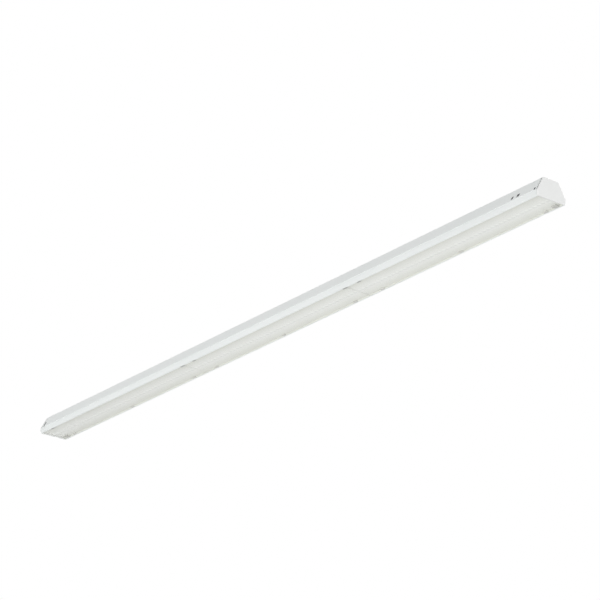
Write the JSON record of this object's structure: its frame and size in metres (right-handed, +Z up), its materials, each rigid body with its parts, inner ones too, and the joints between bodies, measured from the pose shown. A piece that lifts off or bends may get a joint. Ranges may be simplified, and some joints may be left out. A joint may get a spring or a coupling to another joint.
{
  "type": "led trunking light",
  "caption": "Long white linear light: trapezoid steel rail over a gear tray with LED boards behind satin lens plates, a driver and through wiring inside, and a plastic cap on each end.",
  "frame": {"origin": "middle of the rail's top face, midway between the two fixing holes", "axes": "+X along the light towards the end with the through connector, +Y across it, +Z up to the ceiling"},
  "size_m": [1.69, 0.073, 0.043],
  "materials": {
    "white_steel": "white powder coat",
    "cap_plastic": "white moulded plastic, fine texture",
    "satin_acrylic": "satin moulded acrylic, slightly translucent",
    "dark_plastic": "dark moulded plastic",
    "grey_plastic": "pale grey moulded plastic",
    "spring_steel": "bright spring steel",
    "zinc_steel": "zinc plated",
    "board_white": "white solder mask",
    "led_phosphor": "yellow phosphor in a white package",
    "terminal_plastic": "natural nylon",
    "driver_plastic": "white moulded plastic",
    "board_green": "green solder mask",
    "ferrite": "dark ferrite",
    "capacitor_sleeve": "black sleeve",
    "wire_brown": "PVC insulation",
    "wire_black": "PVC insulation",
    "wire_grey": "PVC insulation",
    "wire_blue": "PVC insulation",
    "wire_green_yellow": "green and yellow PVC insulation",
    "wire_red": "PVC insulation",
    "contact_brass": "plain brass",
    "grommet_rubber": "black rubber"
  },
  "bodies": {
    "root": {"trunking_rail": "white_steel", "gear_tray": "white_steel", "end_cap_left": "cap_plastic", "end_cap_right": "cap_plastic", "lens_plate_1": "satin_acrylic", "lens_plate_2": "satin_acrylic", "lens_plate_3": "satin_acrylic", "cap_snaps": "dark_plastic", "connector_socket": "dark_plastic", "lens_retainers": "grey_plastic", "tray_clips": "spring_steel", "tray_clip_rivets": "zinc_steel", "board_screws": "zinc_steel", "driver_base": "zinc_steel", "driver_screws": "zinc_steel", "terminal_clamp_screws": "zinc_steel", "terminal_block_screws": "zinc_steel", "earth_washer": "zinc_steel", "earth_screw": "zinc_steel", "led_board_1": "board_white", "led_board_2": "board_white", "led_board_3": "board_white", "led_packages_1": "led_phosphor", "led_packages_2": "led_phosphor", "led_packages_3": "led_phosphor", "board_connectors": "terminal_plastic", "driver_input_terminal": "terminal_plastic", "driver_output_terminal": "terminal_plastic", "mains_terminal_block": "terminal_plastic", "wire_combs": "terminal_plastic", "driver_cover": "driver_plastic", "driver_board": "board_green", "driver_transformer": "ferrite", "driver_capacitors": "capacitor_sleeve", "through_wire_brown": "wire_brown", "tap_wire_live": "wire_brown", "through_wire_black": "wire_black", "output_lead_negative": "wire_black", "link_wires_negative": "wire_black", "through_wire_grey": "wire_grey", "through_wire_blue": "wire_blue", "tap_wire_neutral": "wire_blue", "through_wire_earth": "wire_green_yellow", "earth_lead": "wire_green_yellow", "output_lead_positive": "wire_red", "link_wires_positive": "wire_red", "connector_contacts": "contact_brass", "earth_ring_terminal": "contact_brass", "lead_grommet": "grommet_rubber"}
  },
  "joints": []
}
